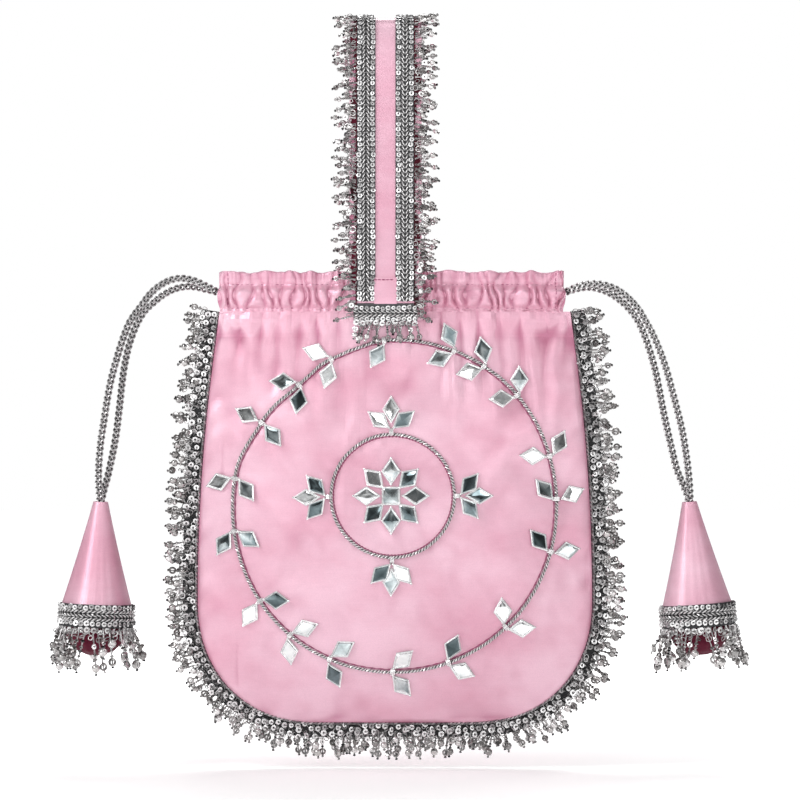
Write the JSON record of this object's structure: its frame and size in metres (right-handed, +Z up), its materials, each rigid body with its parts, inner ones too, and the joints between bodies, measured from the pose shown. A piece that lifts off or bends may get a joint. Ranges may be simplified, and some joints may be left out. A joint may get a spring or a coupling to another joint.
{
  "type": "reticule",
  "caption": "Small satin drawstring handbag: U-shaped pouch with gathered casing, strap handle, beaded fringes, tasselled cords and mirror embroidery",
  "frame": {"origin": "the inside of the strap loop's top, where the bag hangs from a hand or hook", "axes": "+Z up, front with the embroidery faces -Y, +X to the right as seen from the front"},
  "size_m": [0.3704, 0.0554, 0.3881],
  "materials": {
    "satin": "pink satin, soft sheen",
    "deep_satin": "wine satin",
    "cording": "plaited silver thread",
    "beadwork": "silver sequins and beads",
    "mirror": "lozenge mirrors in silver settings"
  },
  "bodies": {
    "root": {"front_panel": "satin", "back_panel": "satin", "front_casing": "satin", "back_casing": "satin", "seam_fringe": "beadwork", "drawstring_run_left": "cording", "drawstring_run_right": "cording", "cord_left_front": "cording", "cord_left_back": "cording", "cord_right_front": "cording", "cord_right_back": "cording", "tassel_cone_left": "satin", "tassel_band_left": "beadwork", "tassel_fringe_left": "beadwork", "tassel_base_left": "deep_satin", "tassel_knot_left": "cording", "tassel_cone_right": "satin", "tassel_band_right": "beadwork", "tassel_fringe_right": "beadwork", "tassel_base_right": "deep_satin", "tassel_knot_right": "cording", "handle_strap": "satin", "handle_braid_left": "beadwork", "handle_fringe_left": "beadwork", "handle_braid_right": "beadwork", "handle_fringe_right": "beadwork", "anchor_braid_front": "beadwork", "anchor_fringe_front": "beadwork", "anchor_braid_back": "beadwork", "anchor_fringe_back": "beadwork", "vine_ring": "cording", "inner_ring": "cording", "leaf_pair_01": "mirror", "leaf_pair_02": "mirror", "leaf_pair_03": "mirror", "leaf_pair_04": "mirror", "leaf_pair_05": "mirror", "leaf_pair_06": "mirror", "leaf_pair_07": "mirror", "leaf_pair_08": "mirror", "leaf_pair_09": "mirror", "leaf_pair_10": "mirror", "leaf_pair_11": "mirror", "leaf_pair_12": "mirror", "leaf_pair_13": "mirror", "leaf_pair_14": "mirror", "leaf_pair_15": "mirror", "leaf_pair_16": "mirror", "leaf_pair_17": "mirror", "leaf_pair_18": "mirror", "cluster_top": "mirror", "cluster_left": "mirror", "cluster_bottom": "mirror", "cluster_right": "mirror", "flower": "mirror"}
  },
  "joints": []
}
